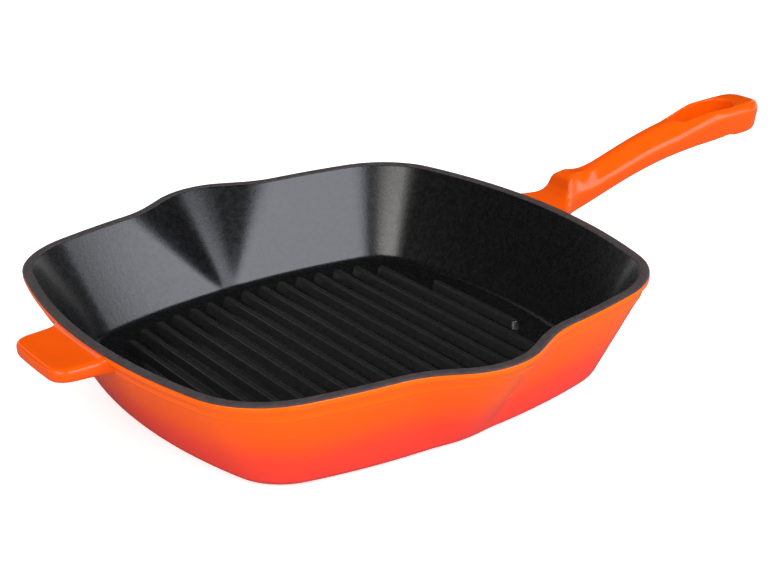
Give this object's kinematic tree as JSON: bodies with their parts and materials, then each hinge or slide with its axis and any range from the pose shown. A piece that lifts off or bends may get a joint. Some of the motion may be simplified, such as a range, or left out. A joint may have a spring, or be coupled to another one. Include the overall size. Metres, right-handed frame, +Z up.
{
  "type": "grill pan",
  "caption": "Square enamelled cast iron grill pan with bulged sides, raised floor ribs, a pouring spout on either side, a long arched handle with a hanging hole and a short helper handle.",
  "frame": {"origin": "centre of the base's underside, on the surface that the pan stands on", "axes": "+X towards the long handle, -X towards the helper handle, spouts on +Y and -Y, +Z up"},
  "size_m": [0.444, 0.2988, 0.082],
  "materials": {
    "iron": "raw casting under the enamel",
    "colour_enamel": "gloss vitreous enamel, orange that shades to coral red towards the base",
    "base_enamel": "satin vitreous enamel, coral red",
    "rim_enamel": "matt ground coat, warm dark grey",
    "black_enamel": "satin black vitreous enamel with a pebbled cast texture"
  },
  "bodies": {
    "root": {"pan_casting": "iron", "grill_ribs": "iron", "long_handle_casting": "iron", "helper_handle_casting": "iron", "outer_enamel": "colour_enamel", "long_handle_enamel": "colour_enamel", "helper_handle_enamel": "colour_enamel", "base_enamel": "base_enamel", "rim_enamel": "rim_enamel", "inner_enamel": "black_enamel", "rib_enamel": "black_enamel"}
  },
  "joints": []
}
